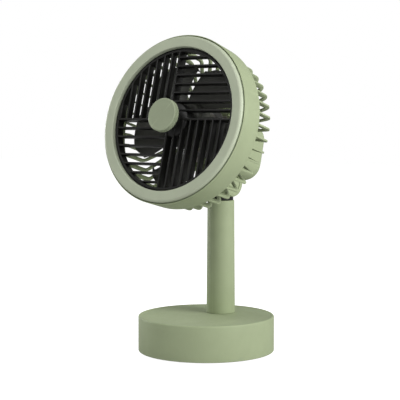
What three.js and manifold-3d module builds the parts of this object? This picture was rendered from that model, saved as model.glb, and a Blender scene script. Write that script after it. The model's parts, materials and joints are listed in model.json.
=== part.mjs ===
// A small desk fan: drum base, offset column, swivelling and tilting head with a
// front grille, a speed knob in its centre and a cage of thin ribs at the back.
// Millimetres, +Z up. The origin is the centre of the base's underside and the fan
// blows towards -Y. Pieces of the head are drawn in the head's own frame, whose
// origin is the centre of the front ring and whose +Y runs backwards along the axis.

import * as THREE from 'three';
import { mergeVertices } from 'three/addons/utils/BufferGeometryUtils.js';
import Module from 'manifold-3d';

const wasm = await Module();
wasm.setup();

// ---------------------------------------------------------------- driving sizes

const GAP = 0.3; // clearance kept between pieces that touch on the real fan

const BASE_RADIUS = 68;
const BASE_HEIGHT = 36;
const BASE_WALL = 2.6;
const BASE_DISH = 0.6; // how far the base's top face lies below its rim
const BASE_TOP = BASE_HEIGHT - BASE_DISH;

const PAD_HEIGHT = 1.8;
const PLATE_BOTTOM = PAD_HEIGHT + GAP;
const PLATE_TOP = PLATE_BOTTOM + 3;
const BALLAST_TOP = PLATE_TOP + GAP + 6;

const COLUMN_Y = 24.8; // the column stands behind the base's centre
const COLUMN_TOP = 150;
const COLUMN_FOOT_RADIUS = 14.5;
const COLUMN_HEAD_RADIUS = 13.6;
const COLUMN_BORE = 11.2;

const COLLAR_RADIUS = 12.7;
const COLLAR_TOP = COLUMN_TOP + 3.4;

const HINGE_Z = 168.5;
const HINGE_RADIUS = 14.7;
const HINGE_HALF_LENGTH = 17;
const CAP_RADIUS = 9;
const CAP_OUTER = HINGE_HALF_LENGTH - 0.2;
const CAP_INNER = CAP_OUTER - 1.3;
const TONGUE_RADIUS = 6.5;
const TONGUE_HALF_WIDTH = 6.6;
const SLOT_HALF_WIDTH = 8;
const PIN_RADIUS = 3;

const TILT = THREE.MathUtils.degToRad(15.3);
const RING_CENTRE_Y = -55.3;
const RING_CENTRE_Z = 232.3;

const RING_RADIUS = 82;
const RING_FRONT = -2.6;
const OPENING_RADIUS = 71;
const GROOVE_FLOOR = 3; // the dark groove between ring and barrel ends here
const BARREL_FRONT = 0.6;
const BARREL_REAR = 27;
const BARREL_FRONT_RADIUS = 83.7;
const BARREL_REAR_RADIUS = 83.1;
const BARREL_WALL = 2.2;
const BARREL_LIP = 0.8; // the barrel's wall thins to this beside the groove

const SLAT_PITCH = 8.8;
const SLAT_THICKNESS = 1.7;
const SLAT_DEPTH = 7.5;
const GRILLE_FRONT = 0.8;
const GRILLE_RADIUS = OPENING_RADIUS - 2 * GAP;
const GRILLE_HUB_RADIUS = 18;

const KNOB_RADIUS = 16.1;
const KNOB_FRONT = -16;
const KNOB_DEPTH = 6;
const STEM_RADIUS = 10; // the grille's stem behind the knob
const STEM_FRONT = KNOB_FRONT + KNOB_DEPTH + 0.8;

const BLADE_COUNT = 5;
const BLADE_TIP = 63.5;
const BLADE_CLIMB = 8; // from a blade's rear edge to its front edge
const IMPELLER_FRONT = 15;
const IMPELLER_REAR = 33;
const BLADE_THICKNESS = 1.6;
const IMPELLER_HUB_RADIUS = 23.5;

const RIB_COUNT = 43;
const RIB_START = THREE.MathUtils.degToRad(2.5); // the first rib's rise above level
const RIB_THICKNESS = 1.8;
const RIB_DEPTH = 4.8;
const CAGE_FRONT = 20;
const CAGE_REAR = 55.5;
const CAGE_FRONT_RADIUS = 80;
const CAGE_REAR_RADIUS = 79.4;
const CAGE_CORNER = 7;
const CAGE_HUB_RADIUS = 32.5;
const CAGE_HUB_THICKNESS = 3.2;

const HOUSING_HALF_WIDTH = 33;
const HOUSING_TOP = 23; // above the fan's axis
const HOUSING_BOTTOM = -34.8; // the housing hangs lower than it rises
const HOUSING_SIDE_CORNER = 17; // as seen along the axis
const HOUSING_FRONT = CAGE_REAR + GAP;
const HOUSING_REAR = 116;
const HOUSING_REAR_CORNER = 7;
const HOUSING_WALL = 2.4;

// the hinge line seen from the head's own frame
const HINGE_BACK = (COLUMN_Y - RING_CENTRE_Y) * Math.cos(TILT)
  + (RING_CENTRE_Z - HINGE_Z) * Math.sin(TILT);
const HINGE_DOWN = (RING_CENTRE_Z - HINGE_Z) * Math.cos(TILT)
  - (COLUMN_Y - RING_CENTRE_Y) * Math.sin(TILT);

// ------------------------------------------------------------------- materials

const looks = {
  sage: { color: 0xa5b08c, roughness: 0.55, metalness: 0 },
  black: { color: 0x1c1d1a, roughness: 0.5, metalness: 0 },
  charcoal: { color: 0x35372f, roughness: 0.45, metalness: 0 },
  rubber: { color: 0x2a2a2a, roughness: 0.9, metalness: 0 },
  steel: { color: 0xb8b5b0, roughness: 0.35, metalness: 1 },
  iron: { color: 0x6f6f72, roughness: 0.6, metalness: 1 },
  copper: { color: 0xb06a3c, roughness: 0.4, metalness: 1 },
  magnet: { color: 0x55565a, roughness: 0.5, metalness: 0.6 },
  acetal: { color: 0xe8e6de, roughness: 0.5, metalness: 0 },
  board: { color: 0x1f5a3a, roughness: 0.55, metalness: 0 },
  cell: { color: 0x3a6aa8, roughness: 0.45, metalness: 0 },
};

// --------------------------------------------------------------- shape helpers

// Welds a geometry down to positions only and turns its faces outwards.
function weld(geometry) {
  const plain = geometry.clone();
  plain.deleteAttribute('normal');
  plain.deleteAttribute('uv');
  const welded = dropSlivers(mergeVertices(plain, 1e-4));
  if (signedVolume(welded) < 0) {
    const index = welded.index.array;
    for (let i = 0; i < index.length; i += 3) {
      [index[i], index[i + 1]] = [index[i + 1], index[i]];
    }
  }
  return welded;
}

// Removes the triangles that shrank to a line when their corners were merged.
function dropSlivers(geometry) {
  const kept = [];
  const index = geometry.index.array;
  for (let i = 0; i < index.length; i += 3) {
    const [a, b, c] = [index[i], index[i + 1], index[i + 2]];
    if (a !== b && b !== c && c !== a) {
      kept.push(a, b, c);
    }
  }
  geometry.setIndex(kept);
  return geometry;
}

function signedVolume(geometry) {
  const position = geometry.attributes.position;
  const index = geometry.index.array;
  const [a, b, c] = [new THREE.Vector3(), new THREE.Vector3(), new THREE.Vector3()];
  let volume = 0;
  for (let i = 0; i < index.length; i += 3) {
    a.fromBufferAttribute(position, index[i]);
    b.fromBufferAttribute(position, index[i + 1]);
    c.fromBufferAttribute(position, index[i + 2]);
    volume += a.dot(b.cross(c)) / 6;
  }
  return volume;
}

function toSolid(geometry) {
  const welded = weld(geometry);
  return new wasm.Manifold(new wasm.Mesh({
    numProp: 3,
    vertProperties: new Float32Array(welded.attributes.position.array),
    triVerts: new Uint32Array(welded.index.array),
  }));
}

function toGeometry(solid) {
  const mesh = solid.getMesh();
  const geometry = new THREE.BufferGeometry();
  geometry.setAttribute('position', new THREE.BufferAttribute(mesh.vertProperties, 3));
  geometry.setIndex(new THREE.BufferAttribute(mesh.triVerts, 1));
  return geometry;
}

// Adds the joined shapes to a body, then takes the cut shapes out of it.
function carve(body, joined, cuts) {
  let solid = toSolid(body);
  for (const piece of joined) {
    solid = solid.add(toSolid(piece));
  }
  for (const piece of cuts) {
    solid = solid.subtract(toSolid(piece));
  }
  return toGeometry(solid);
}

// Points of a circular arc from one angle to another, in degrees.
function arc(x, y, radius, from, to, steps) {
  const points = [];
  for (let i = 0; i <= steps; i += 1) {
    const angle = THREE.MathUtils.degToRad(from + ((to - from) * i) / steps);
    points.push([x + radius * Math.cos(angle), y + radius * Math.sin(angle)]);
  }
  return points;
}

// A solid of revolution about the Y axis. A profile that doesn't start on the
// axis is closed on itself.
function turned(profile, segments = 24) {
  const points = profile.map(([radius, y]) => new THREE.Vector2(radius, y));
  if (profile[0][0] > 0) {
    points.push(points[0].clone());
  }
  return weld(new THREE.LatheGeometry(points, segments));
}

// A solid skinned over layers, each a convex outline in X and Z at its own Y.
function lofted(layers) {
  const count = layers[0].outline.length;
  const positions = layers.flatMap(({ outline, y }) => outline.flatMap(([x, z]) => [x, y, z]));
  const faces = [];
  for (let layer = 0; layer < layers.length - 1; layer += 1) {
    const start = layer * count;
    for (let i = 0; i < count; i += 1) {
      const next = (i + 1) % count;
      faces.push(start + i, start + next, start + count + next);
      faces.push(start + i, start + count + next, start + count + i);
    }
  }
  const last = (layers.length - 1) * count;
  for (let i = 1; i < count - 1; i += 1) {
    faces.push(0, i + 1, i);
    faces.push(last, last + i, last + i + 1);
  }
  const geometry = new THREE.BufferGeometry();
  geometry.setAttribute('position', new THREE.Float32BufferAttribute(positions, 3));
  geometry.setIndex(faces);
  return weld(geometry);
}

function rod(radius, from, to, segments = 18) {
  return turned([[0, from], [radius, from], [radius, to], [0, to]], segments);
}

function sleeve(inner, outer, from, to, segments = 20) {
  return turned([[inner, from], [outer, from], [outer, to], [inner, to]], segments);
}

function hexNut(hole, radius, from, to) {
  return carve(rod(radius, from, to, 6), [], [rod(hole, from - 1, to + 1, 20)]);
}

// Turns a shape drawn about Y so that it stands up along Z.
function upright(geometry, x = 0, y = 0) {
  return geometry.rotateX(Math.PI / 2).translate(x, y, 0);
}

// Turns a shape drawn about Y so that it lies along X.
function sideways(geometry, y, z) {
  return geometry.rotateZ(-Math.PI / 2).translate(0, y, z);
}

// A box given by its lowest and highest corners.
function block(low, high) {
  const size = high.map((value, i) => value - low[i]);
  const centre = high.map((value, i) => (value + low[i]) / 2);
  return new THREE.BoxGeometry(...size).translate(...centre);
}

function polar(radius, degrees) {
  const angle = THREE.MathUtils.degToRad(degrees);
  return [radius * Math.cos(angle), radius * Math.sin(angle)];
}

function piece(name, geometry, look) {
  const mesh = new THREE.Mesh(geometry, new THREE.MeshStandardMaterial(looks[look]));
  mesh.name = name;
  return mesh;
}

// -------------------------------------------------------------------- the base

const BASE_SCREW_ANGLES = [45, 135, 225, 315];
const BASE_SCREW_CIRCLE = 57;
const SPIGOT_RADIUS = 9.6;
const USB_Z = 19;
const SOCKET_FRONT = BASE_RADIUS - 1.6;
const BATTERY_ROWS = [-29, -9];
const BATTERY_Z = BALLAST_TOP + 11;

function baseShell() {
  const inside = BASE_RADIUS - BASE_WALL;
  const ceiling = BASE_TOP - BASE_WALL;
  const drum = upright(turned([
    [0, ceiling],
    [inside, ceiling],
    [inside, 0.8],
    [BASE_RADIUS - 0.6, 0.8],
    [BASE_RADIUS, 1.4],
    ...arc(BASE_RADIUS - 1.4, BASE_HEIGHT - 1.4, 1.4, 0, 90, 3),
    [BASE_RADIUS - 2.2, BASE_HEIGHT],
    [BASE_RADIUS - 3, BASE_TOP],
    [0, BASE_TOP],
  ], 48));
  const bosses = BASE_SCREW_ANGLES.map((angle) => (
    upright(rod(4, PLATE_TOP + GAP, ceiling + 1, 12), ...polar(BASE_SCREW_CIRCLE, angle))
  ));
  const pilotHoles = BASE_SCREW_ANGLES.map((angle) => (
    upright(rod(1.8, PLATE_TOP, 18, 8), ...polar(BASE_SCREW_CIRCLE, angle))
  ));
  const columnHole = upright(rod(SPIGOT_RADIUS + GAP, ceiling - 1, BASE_HEIGHT), 0, COLUMN_Y);
  const socketSlot = block([-5, 50, USB_Z - 2.1], [5, BASE_RADIUS + 2, USB_Z + 2.1]);
  return carve(drum, bosses, [...pilotHoles, columnHole, socketSlot]);
}

function basePlate() {
  const disc = upright(rod(BASE_RADIUS - BASE_WALL - GAP, PLATE_BOTTOM, PLATE_TOP, 48));
  const holes = BASE_SCREW_ANGLES.flatMap((angle) => [
    upright(rod(1.8, 0, 10, 8), ...polar(BASE_SCREW_CIRCLE, angle)),
    upright(rod(3.3, 0, PLATE_BOTTOM + 1.6, 10), ...polar(BASE_SCREW_CIRCLE, angle)),
  ]);
  return carve(disc, [], holes);
}

function baseScrew(angle) {
  const screw = turned([
    [0, PLATE_BOTTOM + 0.2],
    [2.9, PLATE_BOTTOM + 0.2],
    [2.9, PLATE_BOTTOM + 1.3],
    [1.5, PLATE_BOTTOM + 1.3],
    [1.5, 15],
    [0, 16],
  ], 8);
  return upright(screw, ...polar(BASE_SCREW_CIRCLE, angle));
}

function batteryTray() {
  const tray = block([-36, -40, BALLAST_TOP + GAP], [36, 2, BALLAST_TOP + 7]);
  const troughs = BATTERY_ROWS.map((y) => cellShape(y, 9.5, 33.4));
  return carve(tray, [], troughs);
}

function cellShape(y, radius, halfLength) {
  return sideways(rod(radius, -halfLength, halfLength), y, BATTERY_Z);
}

function usbSocket() {
  const shell = block([-4.5, SOCKET_FRONT - 7.3, USB_Z - 1.6], [4.5, SOCKET_FRONT, USB_Z + 1.6]);
  const mouth = block([-4.1, SOCKET_FRONT - 6, USB_Z - 1.2], [4.1, SOCKET_FRONT + 1, USB_Z + 1.2]);
  const tongue = block([-3.2, SOCKET_FRONT - 6.5, USB_Z - 0.35], [3.2, SOCKET_FRONT - 1.2, USB_Z + 0.35]);
  const hollow = carve(shell, [], [mouth]);
  return carve(hollow, [tongue], []);
}

function standPieces() {
  return [
    piece('base_shell', baseShell(), 'sage'),
    piece('base_plate', basePlate(), 'charcoal'),
    piece('foot_pad', upright(rod(BASE_RADIUS - 4, 0, PAD_HEIGHT, 48)), 'rubber'),
    piece('ballast_weight', upright(rod(50, PLATE_TOP + GAP, BALLAST_TOP, 40)), 'iron'),
    ...BASE_SCREW_ANGLES.map((angle, i) => piece(`base_screw_${i + 1}`, baseScrew(angle), 'steel')),
    piece('battery_tray', batteryTray(), 'black'),
    ...BATTERY_ROWS.map((y, i) => piece(`battery_cell_${i + 1}`, cellShape(y, 9.1, 32.6), 'cell')),
    piece('charge_board', block([-17, 36, USB_Z - 3.6], [17, 60, USB_Z - 2]), 'board'),
    piece('usb_socket', usbSocket(), 'steel'),
    piece('column_tube', columnTube(), 'sage'),
    piece('column_nut', columnNut(), 'steel'),
    piece('swivel_bush', swivelBush(), 'acetal'),
  ];
}

// ------------------------------------------------------------------ the column

const SPIGOT_BOTTOM = 24;
const BUSH_BOTTOM = 128;

function columnTube() {
  return upright(turned([
    [7, SPIGOT_BOTTOM],
    [SPIGOT_RADIUS, SPIGOT_BOTTOM],
    [SPIGOT_RADIUS, BASE_TOP + GAP],
    [COLUMN_FOOT_RADIUS, BASE_TOP + GAP],
    ...arc(COLUMN_HEAD_RADIUS - 0.8, COLUMN_TOP - 0.8, 0.8, 0, 90, 2),
    [COLUMN_BORE, COLUMN_TOP],
    [COLUMN_BORE, 42],
    [7, 42],
  ], 30), 0, COLUMN_Y);
}

function columnNut() {
  const top = BASE_TOP - BASE_WALL - GAP;
  return upright(hexNut(SPIGOT_RADIUS + GAP, 16, top - 6, top), 0, COLUMN_Y);
}

function swivelBush() {
  return upright(sleeve(8.3, COLUMN_BORE - GAP, BUSH_BOTTOM, COLUMN_TOP - 0.3), 0, COLUMN_Y);
}

// ------------------------------------------------- the swivelling neck

function neckPost() {
  const collar = upright(turned([
    [0, BUSH_BOTTOM - 2],
    [8, BUSH_BOTTOM - 2],
    [8, COLUMN_TOP + GAP],
    [COLLAR_RADIUS, COLUMN_TOP + GAP],
    ...arc(COLLAR_RADIUS - 0.8, COLLAR_TOP - 0.8, 0.8, 0, 90, 2),
    [0, COLLAR_TOP],
  ], 28), 0, COLUMN_Y);
  const outline = new THREE.Shape();
  outline.moveTo(-10, COLLAR_TOP - 1);
  outline.lineTo(10, COLLAR_TOP - 1);
  outline.lineTo(TONGUE_RADIUS, HINGE_Z - 4);
  outline.lineTo(TONGUE_RADIUS, HINGE_Z);
  outline.absarc(0, HINGE_Z, TONGUE_RADIUS, 0, Math.PI, false);
  outline.lineTo(-TONGUE_RADIUS, HINGE_Z - 4);
  outline.closePath();
  const tongue = new THREE.ExtrudeGeometry(outline, {
    depth: 2 * TONGUE_HALF_WIDTH,
    bevelEnabled: false,
    curveSegments: 8,
  });
  tongue.translate(0, 0, -TONGUE_HALF_WIDTH);
  tongue.rotateX(Math.PI / 2).rotateZ(Math.PI / 2).translate(0, COLUMN_Y, 0);
  const pinHole = sideways(rod(PIN_RADIUS + GAP, -20, 20, 16), COLUMN_Y, HINGE_Z);
  const screwHole = upright(rod(2.3, BUSH_BOTTOM - 3, 142, 12), 0, COLUMN_Y);
  return carve(collar, [tongue], [pinHole, screwHole]);
}

function swivelScrew() {
  const head = BUSH_BOTTOM - 4.3;
  return upright(turned([
    [0, head - 2.4],
    [3.8, head - 2.4],
    [3.8, head],
    [2, head],
    [2, 139],
    [0, 140],
  ], 12), 0, COLUMN_Y);
}

function neckPieces() {
  const washer = sleeve(2.4, 10.4, BUSH_BOTTOM - 4, BUSH_BOTTOM - 2.4);
  return [
    piece('neck_post', neckPost(), 'black'),
    piece('swivel_washer', upright(washer, 0, COLUMN_Y), 'steel'),
    piece('swivel_screw', swivelScrew(), 'steel'),
  ];
}

// --------------------------------------------------------- front of the head

function frontRing() {
  const lip = 1.2;
  const edge = 2.6;
  const skirt = RING_RADIUS - 2.8;
  return turned([
    [OPENING_RADIUS, 6.4],
    ...arc(OPENING_RADIUS + lip, RING_FRONT + lip, lip, 180, 270, 2),
    ...arc(RING_RADIUS - edge, RING_FRONT + edge, edge, -90, 0, 3),
    [RING_RADIUS, GROOVE_FLOOR],
    [skirt, GROOVE_FLOOR],
    [skirt, 7],
    [skirt - 1.8, 7],
    [skirt - 1.8, 0.6],
    [OPENING_RADIUS + 2, 0.6],
    [OPENING_RADIUS + 2, 6.4],
  ], 48);
}

// The barrel's thin front lip stands round the ring with a narrow groove between.
function barrel() {
  const slope = (BARREL_REAR_RADIUS - BARREL_FRONT_RADIUS) / (BARREL_REAR - BARREL_FRONT);
  const inner = (y) => BARREL_FRONT_RADIUS - BARREL_WALL + slope * (y - BARREL_FRONT);
  const ledge = GROOVE_FLOOR + GAP;
  return turned([
    [BARREL_FRONT_RADIUS - BARREL_LIP, BARREL_FRONT],
    [BARREL_FRONT_RADIUS, BARREL_FRONT],
    ...arc(BARREL_REAR_RADIUS - 0.8, BARREL_REAR - 0.8, 0.8, 0, 90, 2),
    [inner(BARREL_REAR), BARREL_REAR],
    [inner(12), 12],
    [75, 12],
    [75, 10],
    [inner(10), 10],
    [inner(ledge), ledge],
    [BARREL_FRONT_RADIUS - BARREL_LIP, ledge],
  ], 48);
}

// Slats stand upright in two opposite quarters and lie flat in the other two.
function frontGrille() {
  const back = GRILLE_FRONT + SLAT_DEPTH;
  const divider = -SLAT_PITCH / 2;
  const reach = GRILLE_RADIUS + 5;
  const half = SLAT_THICKNESS / 2;
  const bars = [
    block([divider - half, GRILLE_FRONT, -reach], [divider + half, GRILLE_FRONT + 11, reach]),
    block([-reach, GRILLE_FRONT, -half], [reach, GRILLE_FRONT + 11, half]),
  ];
  for (let i = 1; i < 8; i += 1) {
    const x = SLAT_PITCH * (i - 0.5);
    const z = SLAT_PITCH * i;
    bars.push(block([x - half, GRILLE_FRONT, -reach], [x + half, back, 0]));
    bars.push(block([divider, GRILLE_FRONT, z - half], [reach, back, z + half]));
    bars.push(block([-reach, GRILLE_FRONT, -z - half], [divider, back, -z + half]));
    bars.push(block([divider * 2 - x - half, GRILLE_FRONT, 0], [divider * 2 - x + half, back, reach]));
  }
  let slats = toSolid(bars[0]);
  for (const bar of bars.slice(1)) {
    slats = slats.add(toSolid(bar));
  }
  const field = rod(GRILLE_RADIUS - 1.5, 0, GRILLE_FRONT + 11, 48);
  const rim = turned([
    [GRILLE_RADIUS - 2.4, GRILLE_FRONT],
    [GRILLE_RADIUS, GRILLE_FRONT],
    [GRILLE_RADIUS, 7],
    [OPENING_RADIUS + 3.2, 7],
    [OPENING_RADIUS + 3.2, 9.4],
    [GRILLE_RADIUS - 2.4, 9.4],
  ], 48);
  const hub = turned([
    [0, STEM_FRONT],
    [STEM_RADIUS, STEM_FRONT],
    [STEM_RADIUS, GRILLE_FRONT],
    [GRILLE_HUB_RADIUS - 3, GRILLE_FRONT],
    [GRILLE_HUB_RADIUS, GRILLE_FRONT + 3],
    [GRILLE_HUB_RADIUS, GRILLE_FRONT + 11],
    [0, GRILLE_FRONT + 11],
  ], 32);
  const pocket = rod(GRILLE_HUB_RADIUS - 2.4, 3.3, 20);
  const shaftHole = rod(3.4, -20, 20, 16);
  const whole = slats.intersect(toSolid(field)).add(toSolid(rim)).add(toSolid(hub));
  return toGeometry(whole.subtract(toSolid(pocket)).subtract(toSolid(shaftHole)));
}

function knob() {
  const back = KNOB_FRONT + KNOB_DEPTH;
  return turned([
    [0, KNOB_FRONT],
    [KNOB_RADIUS - 0.7, KNOB_FRONT],
    [KNOB_RADIUS, KNOB_FRONT + 0.7],
    [KNOB_RADIUS, back],
    [3.3, back],
    [3.3, KNOB_FRONT + 2],
    [0, KNOB_FRONT + 2],
  ], 48);
}

function speedControlPieces() {
  const encoder = carve(
    block([-7, 3.7, -7], [7, 8.6, 7]),
    [],
    [rod(3.3, 0, 7.4, 16)],
  );
  return {
    fixed: [
      piece('speed_encoder', encoder, 'magnet'),
      piece('hub_cover', rod(GRILLE_HUB_RADIUS - 2.8, 9.2, 11.2), 'black'),
    ],
    turning: [
      piece('speed_knob', knob(), 'sage'),
      piece('knob_shaft', rod(2.9, KNOB_FRONT + 2.4, 7, 12), 'steel'),
    ],
  };
}

// ------------------------------------------------------------- the impeller

// One swept, pitched blade: a thin box bent so that its leading edge sweeps back
// towards the tip and its chord climbs from the rear of the fan to the front.
function blade(turn) {
  const sheet = weld(new THREE.BoxGeometry(1, 1, 1, 5, 5, 1));
  const position = sheet.attributes.position;
  for (let i = 0; i < position.count; i += 1) {
    const along = position.getX(i) + 0.5;
    const across = position.getY(i);
    const side = position.getZ(i);
    const radius = THREE.MathUtils.lerp(IMPELLER_HUB_RADIUS - 1.2, BLADE_TIP, along);
    const width = THREE.MathUtils.lerp(52, 58, along);
    const sweep = 3 - 21 * along;
    const [x, z] = polar(radius, turn + sweep + width * across);
    const middle = (IMPELLER_FRONT + IMPELLER_REAR) / 2;
    const climb = BLADE_CLIMB * (1 - 0.25 * along) * Math.sin(across * 2.6) / 1.93;
    position.setXYZ(i, x, middle - climb + BLADE_THICKNESS * side, z);
  }
  return weld(sheet);
}

function impeller() {
  const hub = turned([
    [2, IMPELLER_FRONT - 1],
    [IMPELLER_HUB_RADIUS - 3, IMPELLER_FRONT - 1],
    [IMPELLER_HUB_RADIUS, IMPELLER_FRONT + 2],
    [IMPELLER_HUB_RADIUS, IMPELLER_REAR + 1],
    [IMPELLER_HUB_RADIUS - 1.8, IMPELLER_REAR + 1],
    [IMPELLER_HUB_RADIUS - 1.8, IMPELLER_FRONT + 3],
    [7, IMPELLER_FRONT + 3],
    [7, IMPELLER_FRONT + 12],
    [2, IMPELLER_FRONT + 12],
  ], 30);
  const blades = [];
  for (let i = 0; i < BLADE_COUNT; i += 1) {
    blades.push(blade((360 / BLADE_COUNT) * i + 60));
  }
  return carve(hub, blades, []);
}

const ROTOR_FRONT = IMPELLER_FRONT + 13;
const MOUNT_FRONT = 49.6;

function rotorCup() {
  return turned([
    [2, ROTOR_FRONT],
    [20.4, ROTOR_FRONT],
    [21, ROTOR_FRONT + 0.6],
    [21, MOUNT_FRONT - 1.6],
    [19.8, MOUNT_FRONT - 1.6],
    [19.8, ROTOR_FRONT + 1.2],
    [2, ROTOR_FRONT + 1.2],
  ], 28);
}

function impellerPieces() {
  const magnetEnd = MOUNT_FRONT - 2.5;
  return [
    piece('impeller', impeller(), 'charcoal'),
    piece('impeller_nut', hexNut(2.1, 4.6, IMPELLER_FRONT - 3.4, IMPELLER_FRONT - 1.3), 'steel'),
    piece('motor_shaft', rod(1.7, IMPELLER_FRONT - 3.6, MOUNT_FRONT + 1, 16), 'steel'),
    piece('rotor_cup', rotorCup(), 'steel'),
    piece('magnet_ring', sleeve(17.4, 19.5, ROTOR_FRONT + 1.6, magnetEnd), 'magnet'),
  ];
}

// --------------------------------------------- motor, rear cage and housing

const FIXING_ANGLES = [90, 210, 330];
const MOTOR_SCREW_CIRCLE = 17;
const HOUSING_SCREW_CIRCLE = 28.2;

function alongAxis(geometry, radius, degrees) {
  const [x, z] = polar(radius, degrees);
  return geometry.translate(x, 0, z);
}

function motorMount() {
  const flange = turned([
    [5.3, ROTOR_FRONT + 2],
    [7.2, ROTOR_FRONT + 2],
    [7.2, MOUNT_FRONT],
    [27, MOUNT_FRONT],
    [27, MOUNT_FRONT + 2.4],
    [0, MOUNT_FRONT + 2.4],
    [0, MOUNT_FRONT + 1.4],
    [5.3, MOUNT_FRONT + 1.4],
  ], 28);
  const holes = FIXING_ANGLES.flatMap((angle) => [
    alongAxis(rod(1.7, 40, 60, 8), MOTOR_SCREW_CIRCLE, angle),
    alongAxis(rod(3.3, 40, 60, 10), HOUSING_SCREW_CIRCLE, angle + 60),
  ]);
  return carve(flange, [], holes);
}

function bearing(from) {
  return sleeve(2, 5, from, from + 3, 20);
}

function rib(turn) {
  const outline = new THREE.Shape();
  const corner = CAGE_REAR - CAGE_CORNER;
  const innerRadius = CAGE_REAR_RADIUS - RIB_DEPTH;
  const innerRear = CAGE_REAR - RIB_DEPTH;
  outline.moveTo(CAGE_FRONT_RADIUS - 1, CAGE_FRONT + 1);
  outline.lineTo(CAGE_FRONT_RADIUS - 0.2, CAGE_FRONT + 1);
  outline.lineTo(CAGE_REAR_RADIUS, corner);
  outline.absarc(CAGE_REAR_RADIUS - CAGE_CORNER, corner, CAGE_CORNER, 0, Math.PI / 2, false);
  outline.lineTo(CAGE_HUB_RADIUS - 1, CAGE_REAR);
  outline.lineTo(CAGE_HUB_RADIUS - 1, innerRear);
  outline.lineTo(innerRadius - 2, innerRear);
  outline.lineTo(innerRadius, innerRear - 2);
  outline.lineTo(innerRadius, CAGE_FRONT + 9);
  outline.closePath();
  const plate = new THREE.ExtrudeGeometry(outline, {
    depth: RIB_THICKNESS,
    bevelEnabled: false,
    curveSegments: 2,
  });
  return plate.translate(0, 0, -RIB_THICKNESS / 2).rotateY(turn);
}

function rearGrille() {
  const hoopRadius = CAGE_FRONT_RADIUS - 1.9;
  const hubFront = CAGE_REAR - CAGE_HUB_THICKNESS;
  const frontHoop = sleeve(hoopRadius, CAGE_FRONT_RADIUS, CAGE_FRONT, CAGE_FRONT + 6, 48);
  const hub = sleeve(8, CAGE_HUB_RADIUS, hubFront, CAGE_REAR, 40);
  let cage = toSolid(frontHoop).add(toSolid(hub));
  for (let i = 0; i < RIB_COUNT; i += 1) {
    cage = cage.add(toSolid(rib((2 * Math.PI * i) / RIB_COUNT - RIB_START)));
  }
  for (const angle of FIXING_ANGLES) {
    cage = cage.subtract(toSolid(alongAxis(rod(1.7, 40, 60, 8), MOTOR_SCREW_CIRCLE, angle)));
    cage = cage.subtract(toSolid(alongAxis(rod(1.8, 40, 60, 8), HOUSING_SCREW_CIRCLE, angle + 60)));
  }
  return toGeometry(cage);
}

function housingScrew(angle) {
  const head = CAGE_REAR - CAGE_HUB_THICKNESS - GAP;
  const screw = turned([
    [0, head - 1.4],
    [2.8, head - 1.4],
    [2.8, head],
    [1.5, head],
    [1.5, head + 14],
    [0, head + 15],
  ], 8);
  return alongAxis(screw, HOUSING_SCREW_CIRCLE, angle);
}

function motorScrew(angle) {
  const end = CAGE_REAR + GAP;
  const screw = turned([
    [0, MOUNT_FRONT - 0.9],
    [1.4, MOUNT_FRONT - 0.9],
    [1.4, end],
    [2.6, end],
    [2.6, end + 1.6],
    [0, end + 1.6],
  ], 8);
  return alongAxis(screw, MOTOR_SCREW_CIRCLE, angle);
}

// The housing's outline seen along the axis, pulled in by an inset.
function housingOutline(inset) {
  const corner = HOUSING_SIDE_CORNER - inset;
  const side = HOUSING_HALF_WIDTH - HOUSING_SIDE_CORNER;
  const high = HOUSING_TOP - HOUSING_SIDE_CORNER;
  const low = HOUSING_BOTTOM + HOUSING_SIDE_CORNER;
  return [
    ...arc(side, high, corner, 0, 90, 5),
    ...arc(-side, high, corner, 90, 180, 5),
    ...arc(-side, low, corner, 180, 270, 5),
    ...arc(side, low, corner, 270, 360, 5),
  ];
}

// A rounded block from the cage's rear to the housing's rear, shrunk by an inset.
function housingBlock(inset, front) {
  const corner = HOUSING_REAR_CORNER;
  const edge = arc(-corner, HOUSING_REAR - corner, corner - inset, 0, 90, 4);
  const rims = edge.map(([x, y]) => ({ outline: housingOutline(-x), y }));
  return lofted([{ outline: housingOutline(inset), y: front }, ...rims]);
}

function hingeLug() {
  const edge = 2.5;
  const length = HINGE_HALF_LENGTH;
  const knuckle = sideways(turned([
    [0, -length],
    [HINGE_RADIUS - edge, -length],
    ...arc(HINGE_RADIUS - edge, edge - length, edge, -90, 0, 2).slice(1),
    ...arc(HINGE_RADIUS - edge, length - edge, edge, 0, 90, 2),
    [0, length],
  ], 24), HINGE_BACK, -HINGE_DOWN);
  const web = block(
    [1.5 - length, HINGE_BACK - 13, -HINGE_DOWN],
    [length - 1.5, HINGE_BACK + 13, HOUSING_BOTTOM + 1.5],
  );
  return [knuckle, web];
}

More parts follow.
